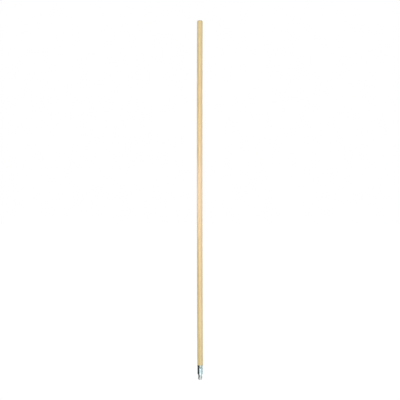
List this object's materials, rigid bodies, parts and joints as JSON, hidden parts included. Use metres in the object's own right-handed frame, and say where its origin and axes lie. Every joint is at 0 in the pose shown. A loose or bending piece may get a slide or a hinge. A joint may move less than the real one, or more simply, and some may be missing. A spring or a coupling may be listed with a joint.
{
  "type": "roller extension pole",
  "caption": "Straight lacquered wooden pole with a threaded sheet-steel tip that screws into a paint roller frame's handle to lengthen its reach.",
  "frame": {"origin": "centre of the threaded tip's flat end face, on the pole's axis", "axes": "+Z along the pole from the threaded tip up to the butt end; +X to the right, with the right-hand pair of brads turned 32 degrees from it towards -Y"},
  "size_m": [0.0238, 0.0238, 1.524],
  "materials": {
    "lacquered_wood": "pale straight-grained wood under a clear satin lacquer, with fine lengthwise grain",
    "zinc_plated_steel": "bright bluish zinc plating on formed sheet steel, with faint turning marks",
    "brad_steel": "plain bright steel, a little duller than the plated tip"
  },
  "bodies": {
    "root": {"pole_shaft": "lacquered_wood", "threaded_ferrule": "zinc_plated_steel", "brad_right_upper": "brad_steel", "brad_right_lower": "brad_steel", "brad_left_upper": "brad_steel", "brad_left_lower": "brad_steel"}
  },
  "joints": []
}
